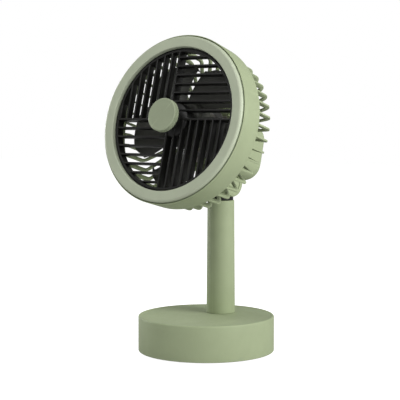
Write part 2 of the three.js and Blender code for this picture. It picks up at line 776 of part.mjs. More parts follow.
// The housing carries the hinge barrel under it, slotted for the neck's tongue.
function motorHousing() {
  const bosses = FIXING_ANGLES.map((angle) => (
    alongAxis(rod(4.8, HOUSING_FRONT - 2, HOUSING_FRONT + 14, 12), HOUSING_SCREW_CIRCLE, angle + 60)
  ));
  const pilots = FIXING_ANGLES.map((angle) => (
    alongAxis(rod(1.8, HOUSING_FRONT - 1, HOUSING_FRONT + 12, 8), HOUSING_SCREW_CIRCLE, angle + 60)
  ));
  const reach = HINGE_RADIUS + 6;
  const slot = block(
    [-SLOT_HALF_WIDTH, HINGE_BACK - reach, -HINGE_DOWN - reach],
    [SLOT_HALF_WIDTH, HINGE_BACK + reach, GAP + TONGUE_RADIUS - HINGE_DOWN],
  );
  const pinHole = sideways(rod(PIN_RADIUS + GAP, -20, 20, 16), HINGE_BACK, -HINGE_DOWN);
  const pockets = [-1, 1].map((side) => (
    sideways(rod(CAP_RADIUS + 0.4, 11.3, 20), 0, 0)
      .scale(side, 1, 1)
      .translate(0, HINGE_BACK, -HINGE_DOWN)
  ));
  const hollow = carve(housingBlock(HOUSING_WALL, HOUSING_FRONT - 1), [], bosses);
  return carve(
    housingBlock(0, HOUSING_FRONT),
    hingeLug(),
    [hollow, slot, pinHole, ...pockets, ...pilots],
  );
}

// Hinge hardware, drawn on the +X side and mirrored for the other one.
function hingePart(name, shape, side, look) {
  const placed = sideways(shape, 0, 0).rotateZ(side > 0 ? 0 : Math.PI);
  return piece(name, placed.translate(0, HINGE_BACK, -HINGE_DOWN), look);
}

function hingePin() {
  const pin = sideways(turned([
    [0, -14.1],
    [5.5, -14.1],
    [5.5, -11.6],
    [PIN_RADIUS, -11.6],
    [PIN_RADIUS, 14],
    [0, 14],
  ], 16), HINGE_BACK, -HINGE_DOWN);
  return piece('hinge_pin', pin, 'steel');
}

function headPieces() {
  const slotSide = TONGUE_HALF_WIDTH + 0.35;
  const washer = () => sleeve(PIN_RADIUS + GAP, 6.6, slotSide, slotSide + 0.7);
  return [
    piece('front_ring', frontRing(), 'sage'),
    piece('barrel', barrel(), 'sage'),
    piece('front_grille', frontGrille(), 'black'),
    piece('rear_grille', rearGrille(), 'sage'),
    piece('motor_mount', motorMount(), 'iron'),
    piece('stator_core', sleeve(7.5, 16.9, ROTOR_FRONT + 3, MOUNT_FRONT - 4), 'copper'),
    piece('bearing_front', bearing(ROTOR_FRONT + 2.2), 'steel'),
    piece('bearing_rear', bearing(MOUNT_FRONT - 3.4), 'steel'),
    ...FIXING_ANGLES.map((angle, i) => piece(`motor_screw_${i + 1}`, motorScrew(angle), 'steel')),
    piece('motor_housing', motorHousing(), 'sage'),
    ...FIXING_ANGLES.map((angle, i) => (
      piece(`housing_screw_${i + 1}`, housingScrew(angle + 60), 'steel')
    )),
    piece('driver_board', rod(18, 74, 75.6), 'board'),
    hingePin(),
    hingePart('hinge_nut', hexNut(PIN_RADIUS + GAP, 5.8, 11.8, 14.2), 1, 'steel'),
    hingePart('hinge_washer_1', washer(), -1, 'acetal'),
    hingePart('hinge_washer_2', washer(), 1, 'acetal'),
    hingePart('hinge_cap_1', rod(CAP_RADIUS, CAP_INNER, CAP_OUTER), -1, 'sage'),
    hingePart('hinge_cap_2', rod(CAP_RADIUS, CAP_INNER, CAP_OUTER), 1, 'sage'),
  ];
}

// -------------------------------------------------------------------- assembly

const speedControl = speedControlPieces();
const head = new THREE.Group();
head.add(...headPieces(), ...speedControl.fixed, ...speedControl.turning, ...impellerPieces());
head.rotation.x = -TILT;
head.position.set(0, RING_CENTRE_Y, RING_CENTRE_Z);

const fan = new THREE.Group();
fan.add(...standPieces(), ...neckPieces(), head);

export default fan;
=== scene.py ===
"""A sage green desk fan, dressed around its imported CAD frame.

Outlines are drawn in millimetres in two local frames. The stand's frame is the row
frame. The head's frame has its origin at the centre of the front ring, +Y running
backwards along the fan's axis, +X to the fan's left and +Z up its face.
"""

import json
import math

import bmesh
import bpy
from mathutils import Matrix, Vector


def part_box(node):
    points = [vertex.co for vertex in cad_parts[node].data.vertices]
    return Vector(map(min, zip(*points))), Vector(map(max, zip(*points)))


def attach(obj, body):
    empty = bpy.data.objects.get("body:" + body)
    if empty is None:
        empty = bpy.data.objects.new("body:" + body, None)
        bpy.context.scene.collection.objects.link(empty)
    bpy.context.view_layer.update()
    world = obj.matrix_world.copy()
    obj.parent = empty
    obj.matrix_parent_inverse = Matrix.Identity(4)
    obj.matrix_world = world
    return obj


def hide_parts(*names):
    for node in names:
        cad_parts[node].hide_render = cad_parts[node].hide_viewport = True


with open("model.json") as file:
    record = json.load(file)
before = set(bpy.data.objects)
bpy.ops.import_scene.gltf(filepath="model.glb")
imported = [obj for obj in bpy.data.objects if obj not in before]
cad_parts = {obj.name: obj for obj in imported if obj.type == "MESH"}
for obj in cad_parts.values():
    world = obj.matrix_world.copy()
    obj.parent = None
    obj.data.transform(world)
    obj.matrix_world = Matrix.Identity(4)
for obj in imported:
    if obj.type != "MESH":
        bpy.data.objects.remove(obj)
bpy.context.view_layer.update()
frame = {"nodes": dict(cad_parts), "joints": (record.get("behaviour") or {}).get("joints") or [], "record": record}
MM = 0.001


def joint(name):
    """A joint of the frame, by name."""
    return next(j for j in frame["joints"] if j["name"] == name)


# ---------------------------------------------------------------- local frames

FAN_AXIS = Vector(joint("fan_spin")["axis"])
TILT = math.atan2(FAN_AXIS.z, -FAN_AXIS.y)
SPIN_POINT_DEPTH = 20 * MM  # the spin joint's point lies this far behind the front ring
HEAD_ORIGIN = Vector(joint("fan_spin")["pos_m"]) + FAN_AXIS * SPIN_POINT_DEPTH

STAND = Matrix.Scale(MM, 4)
HEAD = Matrix.Translation(HEAD_ORIGIN) @ Matrix.Rotation(-TILT, 4, "X") @ STAND

HINGE = HEAD.inverted() @ Vector(joint("head_tilt")["pos_m"])
COLUMN = STAND.inverted() @ Vector(joint("head_swivel")["pos_m"])


def upright(x=0, y=0):
    """Stands a shape that is turned about Y up along Z, at a place on the stand."""
    return STAND @ Matrix.Translation((x, y, 0)) @ Matrix.Rotation(math.pi / 2, 4, "X")


def across(centre, place):
    """Lays a shape that is turned about Y along X, at a point of a local frame."""
    return place @ Matrix.Translation(centre) @ Matrix.Rotation(-math.pi / 2, 4, "Z")


def extent(node, place):
    """A CAD node's lowest and highest Y and its radius about Y in a local frame, in mm."""
    inverse = place.inverted()
    points = [inverse @ v.co for v in frame["nodes"][node].data.vertices]
    low = min(p.y for p in points)
    high = max(p.y for p in points)
    return low, high, max(math.hypot(p.x, p.z) for p in points)


# ------------------------------------------------------------------- materials

def new_material(name):
    """A new material, its node tree and its main shader."""
    material = bpy.data.materials.new(name)
    material.use_nodes = True
    return material, material.node_tree, material.node_tree.nodes["Principled BSDF"]


def add(tree, kind, inputs=None, **settings):
    """Adds a shader node with its settings and its unlinked input values."""
    made = tree.nodes.new(kind)
    for key, value in settings.items():
        setattr(made, key, value)
    for key, value in (inputs or {}).items():
        made.inputs[key].default_value = value
    return made


def noise(tree, scale, detail=3, stretch=(1, 1, 1)):
    """Noise in object space; scale is in cells per metre."""
    place = add(tree, "ShaderNodeTexCoord")
    mapping = add(tree, "ShaderNodeMapping", {"Scale": stretch})
    texture = add(tree, "ShaderNodeTexNoise", {"Scale": scale, "Detail": detail})
    tree.links.new(place.outputs["Object"], mapping.inputs["Vector"])
    tree.links.new(mapping.outputs["Vector"], texture.inputs["Vector"])
    return texture.outputs["Fac"]


def ranged(tree, value, low, high, start=0.3, end=0.7):
    """Spreads a 0 to 1 value between low and high."""
    node = add(tree, "ShaderNodeMapRange", {
        "From Min": start, "From Max": end, "To Min": low, "To Max": high,
    })
    tree.links.new(value, node.inputs["Value"])
    return node.outputs["Result"]


def mixed(tree, factor, first, second):
    """Mixes two colours; each is a colour or the output of another node."""
    node = add(tree, "ShaderNodeMix", data_type="RGBA")
    tree.links.new(factor, node.inputs["Factor"])
    for socket, colour in ((node.inputs[6], first), (node.inputs[7], second)):
        if isinstance(colour, tuple):
            socket.default_value = (*colour, 1)
        else:
            tree.links.new(colour, socket)
    return node.outputs[2]


def scaled(colour, factor):
    """A lighter or darker shade of a colour."""
    return tuple(min(1.0, c * factor) for c in colour)


def edge_wear(tree):
    """0 on flats, rising to 1 along convex edges."""
    geometry = add(tree, "ShaderNodeNewGeometry")
    return ranged(tree, geometry.outputs["Pointiness"], 0, 1, start=0.52, end=0.62)


def bumped(tree, shader, layers):
    """Chains bump layers, each (height output, depth in mm), into the shader's normal."""
    previous = None
    for height, depth in layers:
        bump = add(tree, "ShaderNodeBump", {"Strength": 1.0, "Distance": depth * MM})
        tree.links.new(height, bump.inputs["Height"])
        if previous:
            tree.links.new(previous, bump.inputs["Normal"])
        previous = bump.outputs["Normal"]
    tree.links.new(previous, shader.inputs["Normal"])


FLOW_MARKS = 45  # noise scales, in cells per metre
SINK_MARKS = 60
POLISH_MARKS = 260
SINK_DEPTH = 0.12  # mm
ROUGHNESS_SPREAD = 0.06


def moulded(name, colour, roughness, grain=0.35, depth=0.012, wear=0.25, tone=0.05):
    """Moulded plastic: spark-eroded grain (its size in mm), slow flow marks, paler edges."""
    material, tree, shader = new_material(name)
    broad = ranged(tree, noise(tree, FLOW_MARKS), 0, 1)
    base = mixed(tree, broad, scaled(colour, 1 - tone), scaled(colour, 1 + tone))
    speck = ranged(tree, noise(tree, 1 / (grain * MM), 4), 0, 0.5)
    base = mixed(tree, speck, base, scaled(colour, 0.93))
    worn = add(tree, "ShaderNodeMath", {1: wear}, operation="MULTIPLY")
    tree.links.new(edge_wear(tree), worn.inputs[0])
    base = mixed(tree, worn.outputs[0], base, scaled(colour, 1.35))
    tree.links.new(base, shader.inputs["Base Color"])
    rough = ranged(tree, noise(tree, POLISH_MARKS, 5), roughness - ROUGHNESS_SPREAD,
                   roughness + ROUGHNESS_SPREAD)
    tree.links.new(rough, shader.inputs["Roughness"])
    fine = noise(tree, 1 / (grain * MM), 5)
    sink = noise(tree, SINK_MARKS, 2)
    bumped(tree, shader, [(sink, SINK_DEPTH), (fine, depth)])
    shader.inputs["Specular IOR Level"].default_value = 0.4
    return material


def metal(name, colour, roughness, stretch=(1, 30, 1), depth=0.004):
    """Machined or drawn metal: fine streaks along one way and a cloudy finish."""
    material, tree, shader = new_material(name)
    shader.inputs["Metallic"].default_value = 1.0
    cloudy = ranged(tree, noise(tree, 220, 5), 0, 1)
    base = mixed(tree, cloudy, scaled(colour, 0.88), scaled(colour, 1.06))
    base = mixed(tree, edge_wear(tree), base, scaled(colour, 1.25))
    tree.links.new(base, shader.inputs["Base Color"])
    streak = noise(tree, 1400, 4, stretch)
    tree.links.new(ranged(tree, streak, roughness - 0.08, roughness + 0.12),
                   shader.inputs["Roughness"])
    bumped(tree, shader, [(streak, depth)])
    return material


def rubber():
    """Matt black rubber with a little pale dust on it."""
    material, tree, shader = new_material("foot_rubber")
    dust = ranged(tree, noise(tree, 150, 6), 0, 0.5)
    tree.links.new(mixed(tree, dust, (0.018, 0.018, 0.018), (0.06, 0.058, 0.054)),
                   shader.inputs["Base Color"])
    tree.links.new(ranged(tree, noise(tree, 500), 0.75, 0.95), shader.inputs["Roughness"])
    bumped(tree, shader, [(noise(tree, 1600, 2), 0.05)])
    return material


def circuit_board():
    """Green solder mask over copper tracks, which lie as faint raised lines."""
    material, tree, shader = new_material("circuit_board")
    place = add(tree, "ShaderNodeTexCoord")
    tracks = add(tree, "ShaderNodeTexBrick", {
        "Scale": 420.0, "Mortar Size": 0.06, "Color1": (0, 0, 0, 1),
        "Color2": (0, 0, 0, 1), "Mortar": (1, 1, 1, 1),
    })
    tree.links.new(place.outputs["Object"], tracks.inputs["Vector"])
    mask = mixed(tree, tracks.outputs["Fac"], (0.015, 0.11, 0.05), (0.05, 0.22, 0.09))
    tree.links.new(mask, shader.inputs["Base Color"])
    tree.links.new(ranged(tree, noise(tree, 300), 0.3, 0.45), shader.inputs["Roughness"])
    bumped(tree, shader, [(tracks.outputs["Fac"], 0.03)])
    return material


def copper_winding():
    """Enamelled wire: close turns round the stator."""
    material, tree, shader = new_material("copper_winding")
    place = add(tree, "ShaderNodeTexCoord")
    turns = add(tree, "ShaderNodeTexWave", {"Scale": 900.0, "Distortion": 0.4})
    tree.links.new(place.outputs["Object"], turns.inputs["Vector"])
    tree.links.new(mixed(tree, turns.outputs["Fac"], (0.2, 0.06, 0.02), (0.62, 0.25, 0.09)),
                   shader.inputs["Base Color"])
    tree.links.new(ranged(tree, noise(tree, 400), 0.28, 0.4), shader.inputs["Roughness"])
    shader.inputs["Metallic"].default_value = 0.9
    bumped(tree, shader, [(turns.outputs["Fac"], 0.1)])
    return material


SAGE = (0.365, 0.425, 0.255)
# The ring's sage is paler and greyer than the rest: painted sheen and painted light on its face, on top of its
# lower roughness.
RING_SAGE_WITH_PAINTED_SHEEN = (0.52, 0.575, 0.425)
KNOB_SAGE = (0.36, 0.412, 0.275)

MATERIALS = {
    "sage_plastic": moulded("sage_plastic", SAGE, 0.62),
    # the ring's paler colour is painted sheen and painted light
    "ring_plastic": moulded("ring_plastic", RING_SAGE_WITH_PAINTED_SHEEN, 0.36, depth=0.006),
    "knob_plastic": moulded("knob_plastic", KNOB_SAGE, 0.5, wear=0.6),
    "black_plastic": moulded("black_plastic", (0.011, 0.011, 0.01), 0.42, depth=0.008),
    "charcoal_plastic": moulded("charcoal_plastic", (0.075, 0.077, 0.066), 0.42, depth=0.006),
    "acetal": moulded("acetal", (0.76, 0.74, 0.68), 0.4, wear=0.1),
    "cell_wrap": moulded("cell_wrap", (0.04, 0.14, 0.36), 0.3, depth=0.003, tone=0.1),
    "magnet": moulded("magnet", (0.075, 0.075, 0.085), 0.5, grain=0.2, depth=0.02),
    "steel": metal("steel", (0.56, 0.53, 0.5), 0.32),
    "cast_iron": metal("cast_iron", (0.15, 0.15, 0.16), 0.6, (1, 1, 1), 0.06),
    "cast_alloy": metal("cast_alloy", (0.46, 0.46, 0.47), 0.45, (1, 1, 1), 0.03),
    "rubber": rubber(),
    "circuit_board": circuit_board(),
    "copper_winding": copper_winding(),
}


# --------------------------------------------------------------- shape helpers

def arc(x, y, radius, start, end, steps=6):
    """Points of a circular arc from one angle to another, in degrees."""
    angles = [math.radians(start + (end - start) * i / steps) for i in range(steps + 1)]
    return [(x + radius * math.cos(a), y + radius * math.sin(a)) for a in angles]


def ring_of(bm, radius, y, segments, relief):
    """One ring of vertices about Y, or a single vertex on the axis.

    The relief, if any, gives how far each point moves out: relief(angle, radius, y).
    """
    if radius < 1e-6:
        return [bm.verts.new((0, y, 0))]
    ring = []
    for i in range(segments):
        angle = 2 * math.pi * i / segments
        out = radius + (relief(angle, radius, y) if relief else 0)
        ring.append(bm.verts.new((out * math.cos(angle), y, out * math.sin(angle))))
    return ring


def bridge(bm, first, second):
    """Faces between two rings, either of which may be a single point."""
    count = max(len(first), len(second))
    for i in range(count):
        following = (i + 1) % count
        corners = [first[i % len(first)], first[following % len(first)],
                   second[following % len(second)], second[i % len(second)]]
        unique = list(dict.fromkeys(corners))
        if len(unique) > 2:
            bm.faces.new(unique)


def turn(bm, profile, segments=144, relief=None):
    """Turns a profile of (radius, y) points about Y; off the axis it closes on itself."""
    rings = [ring_of(bm, radius, y, segments, relief) for radius, y in profile]
    for first, second in zip(rings, rings[1:]):
        bridge(bm, first, second)
    if len(rings[0]) > 1 and len(rings[-1]) > 1:
        bridge(bm, rings[-1], rings[0])
    return bm


def turned(profile, segments=144, relief=None):
    """The same as turn, in a mesh of its own."""
    return turn(bmesh.new(), profile, segments, relief)


def cuboid(bm, low, high):
    """Adds a box given by its lowest and highest corners."""
    size = Vector(high) - Vector(low)
    centre = (Vector(high) + Vector(low)) / 2
    made = bmesh.ops.create_cube(bm, size=1.0)["verts"]
    bmesh.ops.scale(bm, vec=size, verts=made)
    bmesh.ops.translate(bm, vec=centre, verts=made)


def slab(bm, outline, thickness, matrix=None):
    """A plate with an outline in XY, centred on Z = 0."""
    low = [bm.verts.new((x, y, -thickness / 2)) for x, y in outline]
    high = [bm.verts.new((x, y, thickness / 2)) for x, y in outline]
    bm.faces.new(low)
    bm.faces.new(high)
    for i in range(len(outline)):
        following = (i + 1) % len(outline)
        bm.faces.new((low[i], low[following], high[following], high[i]))
    if matrix:
        bmesh.ops.transform(bm, matrix=matrix, verts=low + high)


SMOOTH_ANGLE = 35  # edges sharper than this, in degrees, stay creased
BEVEL_ANGLE = 50  # and edges sharper than this are rounded where a bevel is asked for


def finished(name, bm, place, look, body, nodes=(), bevel=0.0, smooth=SMOOTH_ANGLE):
    """Makes the object, gives it its material, and ties it to the frame."""
    bmesh.ops.recalc_face_normals(bm, faces=bm.faces)
    mesh = bpy.data.meshes.new(name)
    bm.to_mesh(mesh)
    bm.free()
    mesh.transform(place)
    obj = bpy.data.objects.new(name, mesh)
    bpy.context.scene.collection.objects.link(obj)
    if bevel:
        rounding = obj.modifiers.new("rounding", "BEVEL")
        rounding.width = bevel * MM
        rounding.segments = 2
        rounding.limit_method = "ANGLE"
        rounding.angle_limit = math.radians(BEVEL_ANGLE)
        apply_modifiers(obj)
    obj.data.shade_smooth()
    obj.data.set_sharp_from_angle(angle=math.radians(smooth))
    obj.data.materials.append(MATERIALS[look])
    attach(obj, body)
    if nodes:
        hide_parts(*nodes)
    return obj


def apply_modifiers(obj):
    """Swaps the object's mesh for what its modifiers make of it."""
    graph = bpy.context.evaluated_depsgraph_get()
    graph.update()
    mesh = bpy.data.meshes.new_from_object(obj.evaluated_get(graph))
    obj.modifiers.clear()
    obj.data = mesh


def cut(obj, bm, place):
    """Takes a shape out of an object."""
    bmesh.ops.recalc_face_normals(bm, faces=bm.faces)
    mesh = bpy.data.meshes.new("cutter")
    bm.to_mesh(mesh)
    bm.free()
    mesh.transform(place)
    cutter = bpy.data.objects.new("cutter", mesh)
    bpy.context.scene.collection.objects.link(cutter)
    boolean = obj.modifiers.new("cut", "BOOLEAN")
    boolean.operation = "DIFFERENCE"
    boolean.solver = "EXACT"
    boolean.object = cutter
    apply_modifiers(obj)
    bpy.data.objects.remove(cutter)
    obj.data.shade_smooth()
    obj.data.set_sharp_from_angle(angle=math.radians(SMOOTH_ANGLE))


# ------------------------------------------------------------------- the stand

BASE_WALL = 2.6
BASE_TOP_SINK = 0.6
BASE_FOOT_EDGE = 0.8
BASE_RIM_EDGE = 1.4
PORT_HEIGHT = 4.2
PORT_HALF_STRAIGHT = 2.9
PORT_CUT_LENGTH = 20


def base_drum():
    """The base's shell: a drum with a rounded raised rim round a sunk top."""
    low, high, radius = extent("base_shell", upright())
    top = high - BASE_TOP_SINK
    ceiling = top - BASE_WALL
    inside = radius - BASE_WALL
    profile = [
        (0, ceiling), (inside, ceiling), (inside, low), (radius - BASE_FOOT_EDGE, low),
        *arc(radius - BASE_FOOT_EDGE, low + BASE_FOOT_EDGE, BASE_FOOT_EDGE, -90, 0, 3),
        *arc(radius - BASE_RIM_EDGE, high - BASE_RIM_EDGE, BASE_RIM_EDGE, 0, 90, 6),
        *arc(radius - 2.0, high - 0.5, 0.5, 90, 150, 3),
        *arc(radius - 3.2, top + 0.4, 0.4, -30, -90, 3),
        (0, top),
    ]
    drum = finished("base_drum", turned(profile, 192), upright(), "sage_plastic", "stand",
                    ["base_shell"])
    cut_port(drum, radius)


def cut_port(drum, radius):
    """Opens a rounded slot through the drum's rear wall, level with the inlet socket."""
    outline = [
        *arc(PORT_HALF_STRAIGHT, 0, PORT_HEIGHT / 2, -90, 90, 8),
        *arc(-PORT_HALF_STRAIGHT, 0, PORT_HEIGHT / 2, 90, 270, 8),
    ]
    port = bmesh.new()
    slab(port, outline, PORT_CUT_LENGTH)
    socket = (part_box("usb_socket")[0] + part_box("usb_socket")[1]) / 2 / MM
    rear_wall = Matrix.Translation((0, radius - 1, socket.z))
    cut(drum, port, STAND @ rear_wall @ Matrix.Rotation(math.pi / 2, 4, "X"))


PAD_GROOVES = 6
PAD_FIRST_GROOVE = 12
PAD_GROOVE_PITCH = 9
PAD_GROOVE_DEPTH = 0.5


def foot():
    """The rubber pad, with shallow round grooves pressed into its underside."""
    low, high, radius = extent("foot_pad", upright())
    floor = low + PAD_GROOVE_DEPTH
    profile = [(0, low)]
    for groove in range(PAD_GROOVES):
        at = PAD_FIRST_GROOVE + groove * PAD_GROOVE_PITCH
        profile += [(at, low), (at + 0.4, floor), (at + 1.4, floor), (at + 1.8, low)]
    profile += [*arc(radius - 0.5, low + 0.5, 0.5, -90, 0, 3), (radius, high), (0, high)]
    finished("foot_ring_pad", turned(profile, 144), upright(), "rubber", "stand", ["foot_pad"])


COLUMN_TAPER = 0.9
COLUMN_BORE = 11.2
COLUMN_SINK = 0.35  # how far the column's foot goes into the base's sunk top
SPIGOT_BOTTOM = 24
SPIGOT_RADIUS = 9.6
SPIGOT_BORE = 7


def column():
    """The column: a slightly tapering tube over a spigot that goes down into the base."""
    _, high, foot_radius = extent("column_tube", upright(COLUMN.x, COLUMN.y))
    low = extent("base_shell", upright())[1] - COLUMN_SINK
    head_radius = foot_radius - COLUMN_TAPER
    tube = turned([
        (COLUMN_BORE, low), (foot_radius - 0.4, low),
        *arc(foot_radius - 0.4, low + 0.4, 0.4, -90, 0, 3),
        *arc(head_radius - 0.9, high - 0.9, 0.9, 0, 90, 5),
        *arc(COLUMN_BORE + 0.4, high - 0.4, 0.4, 90, 180, 3),
    ], 96)
    turn(tube, [
        (SPIGOT_BORE, SPIGOT_BOTTOM), (SPIGOT_RADIUS, SPIGOT_BOTTOM),
        (SPIGOT_RADIUS, low), (SPIGOT_BORE, low),
    ], 64)
    finished("column_sleeve", tube, upright(COLUMN.x, COLUMN.y), "sage_plastic", "stand",
             ["column_tube"])


COLLAR_GAP = 0.3
COLLAR_HEIGHT = 3.1
TONGUE_HALF_WIDTH = 9.6
TONGUE_THICKNESS = 13.2
TONGUE_TOP_RADIUS = 6.5


def neck():
    """The dark swivel collar with its spigot, and the tongue that the hinge pin crosses."""
    low, _, radius = extent("neck_post", upright(COLUMN.x, COLUMN.y))
    seat = COLUMN.z + COLLAR_GAP
    top = seat + COLLAR_HEIGHT
    collar = turned([
        (0, low), (7.5, low), (8, low + 0.5), (8, seat), (radius - 0.4, seat),
        *arc(radius - 0.4, seat + 0.4, 0.4, -90, 0, 3),
        (radius, seat + 1.0), (radius - 0.35, seat + 1.2), (radius - 0.35, seat + 1.5),
        (radius, seat + 1.7),
        *arc(radius - 0.9, top - 0.9, 0.9, 0, 90, 5),
        (0, top),
    ], 96)
    hinge_z = (STAND.inverted() @ Vector(joint("head_tilt")["pos_m"])).z
    outline = [
        (-TONGUE_HALF_WIDTH, top - 1), (TONGUE_HALF_WIDTH, top - 1),
        *arc(0, hinge_z, TONGUE_TOP_RADIUS, -20, 200, 24),
    ]
    tongue_place = Matrix.Rotation(math.pi / 2, 4, "Z") @ Matrix.Rotation(math.pi / 2, 4, "X")
    tongue = bmesh.new()
    slab(tongue, outline, TONGUE_THICKNESS, tongue_place)
    finished("neck_collar", collar, upright(COLUMN.x, COLUMN.y), "black_plastic", "neck",
             ["neck_post"])
    finished("neck_tongue", tongue, STAND @ Matrix.Translation((COLUMN.x, COLUMN.y, 0)),
             "black_plastic", "neck", bevel=0.5)


# --------------------------------------------------------------- the front end

OPENING_RADIUS = 71
GROOVE_FLOOR = 3
RING_LIP = 1.2
RING_EDGE = 2.6
RING_SKIRT_INSET = 2.8
BARREL_WALL = 2.2
BARREL_TAPER = 0.6
BARREL_LIP = 0.75


def front_ring():
    """The satin ring, its paler, greyer colour a painted sheen and painted light: a small rounded lip, a flat face
    and a broadly rounded outer edge.
    """
    front, back, radius = extent("front_ring", HEAD)
    skirt = radius - RING_SKIRT_INSET
    profile = [
        (OPENING_RADIUS, 2.2),
        *arc(OPENING_RADIUS + RING_LIP, front + RING_LIP, RING_LIP, 180, 270, 8),
        *arc(radius - RING_EDGE, front + RING_EDGE, RING_EDGE, -90, 0, 12),
        (radius, GROOVE_FLOOR), (skirt, GROOVE_FLOOR), (skirt, back), (skirt - 1.8, back),
        (skirt - 1.8, 0.6), (OPENING_RADIUS + 2, 0.4), (OPENING_RADIUS + 2, 2.2),
    ]
    finished("ring_face", turned(profile, 224), HEAD, "ring_plastic", "head",
             ["front_ring"], smooth=30)


def barrel():
    """The short drum; its thin front lip stands round the ring across a dark groove."""
    front, back, radius = extent("barrel", HEAD)
    rear = radius - BARREL_TAPER
    lip = radius - BARREL_LIP
    profile = [
        (lip, front + 0.2), (lip + 0.2, front), (radius - 0.3, front),
        *arc(radius - 0.3, front + 0.3, 0.3, -60, 0, 3),
        *arc(rear - 0.9, back - 0.9, 0.9, 0, 90, 5),
        (rear - BARREL_WALL + 0.4, back), (rear - BARREL_WALL, back - 0.4),
        (radius - BARREL_WALL - 0.2, 12), (75, 12), (75, 10),
        (radius - BARREL_WALL - 0.1, 10), (radius - BARREL_WALL, GROOVE_FLOOR + 0.3),
        (lip, GROOVE_FLOOR + 0.3),
    ]
    finished("barrel_drum", turned(profile, 224), HEAD, "sage_plastic", "head", ["barrel"])


SLAT_PITCH = 8.8
SLAT_WIDTH = 1.7
SLAT_DEPTH = 7.5
SLATS_PER_QUARTER = 7
DIVIDER_DEPTH = 11
GRILLE_FACE = 0.8
GRILLE_BAND_INSET = 1.6


def slat(bm, along, offset, start, end, depth=SLAT_DEPTH):
    """One slat, upright ("z") or flat ("x"), between two places along its own length."""
    half = SLAT_WIDTH / 2
    back = GRILLE_FACE + depth
    if along == "z":
        cuboid(bm, (offset - half, GRILLE_FACE, start), (offset + half, back, end))
    else:
        cuboid(bm, (start, GRILLE_FACE, offset - half), (end, back, offset + half))


def grille_slats(radius):
    """Quarters of upright and flat slats by turns, with deeper dividers between them."""
    bm = bmesh.new()
    divider = -SLAT_PITCH / 2
    reach = radius - 0.6
    slat(bm, "z", divider, -reach, reach, DIVIDER_DEPTH)
    slat(bm, "x", 0, -reach, reach, DIVIDER_DEPTH)
    for i in range(1, SLATS_PER_QUARTER + 1):
        x = SLAT_PITCH * (i - 0.5)
        z = SLAT_PITCH * i
        mirrored = 2 * divider - x
        slat(bm, "z", x, -math.sqrt(reach ** 2 - x ** 2), 0)
        slat(bm, "x", z, divider, math.sqrt(reach ** 2 - z ** 2))
        slat(bm, "x", -z, -math.sqrt(reach ** 2 - z ** 2), divider)
        slat(bm, "z", mirrored, 0, math.sqrt(reach ** 2 - mirrored ** 2))
    return bm


def front_grille():
    """Slats, rim and hub of the dark grille, with rounded moulded edges."""
    front = extent("front_grille", HEAD)[0]
    band = OPENING_RADIUS - GRILLE_BAND_INSET
    finished("grille_slats", grille_slats(band - 1), HEAD, "black_plastic", "head",
             ["front_grille"], bevel=0.3, smooth=50)
    rim = turned([
        (band - 2.2, GRILLE_FACE + 0.4), (band - 1.8, GRILLE_FACE),
        (band - 0.3, GRILLE_FACE), (band, GRILLE_FACE + 0.4),
        (band, GRILLE_FACE + 2.4), (OPENING_RADIUS - 0.3, GRILLE_FACE + 2.4),
        (OPENING_RADIUS + 1.6, GRILLE_FACE + 2.2), (OPENING_RADIUS + 1.6, 7),
        (74, 7), (74, 9.4), (band - 2.2, 9.4),
    ], 192)
    turn(rim, [
        (3.4, front), *arc(9.2, front + 0.8, 0.8, -90, 0, 4), (10, GRILLE_FACE),
        *arc(15.2, 4.0, 2, -70, 0, 5), (17.2, 5.5), (17.2, 11.8),
        (15.6, 11.8), (15.6, 3.3), (3.4, 3.3),
    ], 96)
    finished("grille_rim", rim, HEAD, "black_plastic", "head", smooth=40)


KNOB_BEVEL = 0.5
KNOB_FACE_SINK = 0.12
KNURL_TEETH = 40
KNURL_LEAN = 2  # teeth that each diagonal crosses on its way over the side
KNURL_DEPTH = 1.1
KNURL_ROWS = 20
KNURL_STEPS = 10  # points to a tooth


def knob():
    """The flat round knob: diamond knurling, a small bevel and a face sunk inside its rim."""
    front, back, radius = extent("speed_knob", HEAD)
    low = front + KNOB_BEVEL + 0.1
    high = back - 0.4

    def knurl(angle, _, y):
        if not low < y < high:
            return 0
        lean = (y - low) / (high - low) * 2 * math.pi * KNURL_LEAN
        first = abs(math.sin((KNURL_TEETH * angle + lean) / 2))
        second = abs(math.sin((KNURL_TEETH * angle - lean) / 2))
        return -KNURL_DEPTH * (1 - min(first, second))

    face = front + KNOB_FACE_SINK
    side = [(radius, low + (high - low) * i / KNURL_ROWS) for i in range(KNURL_ROWS + 1)]
    profile = [
        (0, face), (radius - 3.2, face), (radius - 2.4, face), (radius - 2.1, front),
        (radius - KNOB_BEVEL - 0.1, front), (radius - KNOB_BEVEL, front + 0.05),
        (radius - 0.1, front + KNOB_BEVEL - 0.05), (radius, front + KNOB_BEVEL),
        *side, (radius, back - 0.3), (radius - 0.3, back), (3.3, back), (3.3, front + 2),
        (0, front + 2),
    ]
    finished("knob_cap", turned(profile, KNURL_TEETH * KNURL_STEPS, knurl), HEAD,
             "knob_plastic", "knob", ["speed_knob"], smooth=32)


# ------------------------------------------------------------- impeller, motor

HUB_RADIUS = 23.5
HUB_EDGE = 4
HUB_WALL = 1.8
BLADE_COUNT = 5
BLADE_START = 60  # angles of the blades are in degrees
BLADE_LEAD = 3
BLADE_SWEEP = 21
BLADE_ROOT_WIDTH = 52
BLADE_FLARE = 6
BLADE_ROOT_SINK = 1.2  # how far a blade's root goes into the hub
BLADE_TIP = 63.5
BLADE_MIDDLE = 24  # how far the blades' middle lies behind the front ring
BLADE_CLIMB = 8
BLADE_THICKNESS = 1.6
CHORD_CURVE = 2.6  # radians of sine wave that bend the chord
CHORD_SPAN = 1.93  # about twice the sine of half CHORD_CURVE
TIP_TRIM = 0.16
TIP_TRIM_START = 0.8


